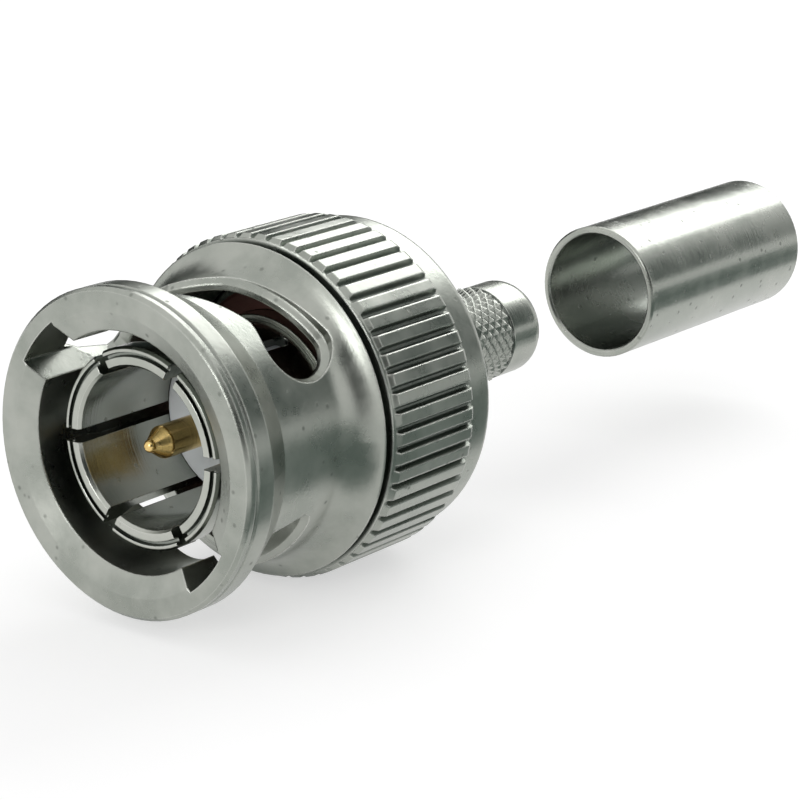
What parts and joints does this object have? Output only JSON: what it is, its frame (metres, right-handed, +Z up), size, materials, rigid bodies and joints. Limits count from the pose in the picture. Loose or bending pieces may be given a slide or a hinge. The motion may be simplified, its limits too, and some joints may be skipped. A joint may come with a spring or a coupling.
{
  "type": "bnc connector",
  "caption": "BNC bayonet cable plug with a ribbed turning nut, slotted outer contact, gold centre pin, knurled crimp stub and a loose crimp ferrule in line behind it.",
  "frame": {"origin": "centre of the coupling nut's mouth face, on the axis of the plug", "axes": "+Y runs along the axis from the mouth to the cable end, +Z is up as the plug lies on its side, +X is to the right seen from the mouth"},
  "size_m": [0.0146, 0.0456, 0.0146],
  "materials": {
    "nut_nickel": "satin nickel plate on a die-cast nut, lightly speckled",
    "body_nickel": "satin nickel plate on turned brass",
    "contact_nickel": "nickel plate on turned brass",
    "ferrule_nickel": "satin nickel plate on drawn brass tube",
    "washer_nickel": "nickel-plated flat washer",
    "spring_steel": "bare spring steel",
    "silicone": "matt reddish-brown silicone rubber",
    "ptfe": "waxy white plastic",
    "gold": "gold-plated brass"
  },
  "bodies": {
    "plug_body": {"body": "body_nickel", "outer_contact": "contact_nickel", "insulator": "ptfe", "contact_pin": "gold", "gasket": "silicone", "wave_washer": "spring_steel"},
    "washer": {"thrust_washer": "washer_nickel"},
    "nut": {"coupling_nut": "nut_nickel", "retaining_ring": "spring_steel"},
    "ferrule": {"ferrule": "ferrule_nickel"}
  },
  "joints": [
    {"name": "nut_slide", "type": "slide", "parent": "plug_body", "child": "washer", "axis": [0, -1, 0], "range_m": [0, 0.0009], "stiffness_N_per_m": 1200, "springref_m": -0.0008, "deforming": ["wave_washer"]},
    {"name": "nut_turn", "type": "hinge", "parent": "washer", "child": "nut", "pos_m": [0, 0.0075, 0], "axis": [0, 1, 0], "continuous": true},
    {"name": "ferrule_slide", "type": "slide", "parent": "plug_body", "child": "ferrule", "axis": [0, 1, 0], "range_m": [-0.0158, 0]}
  ]
}
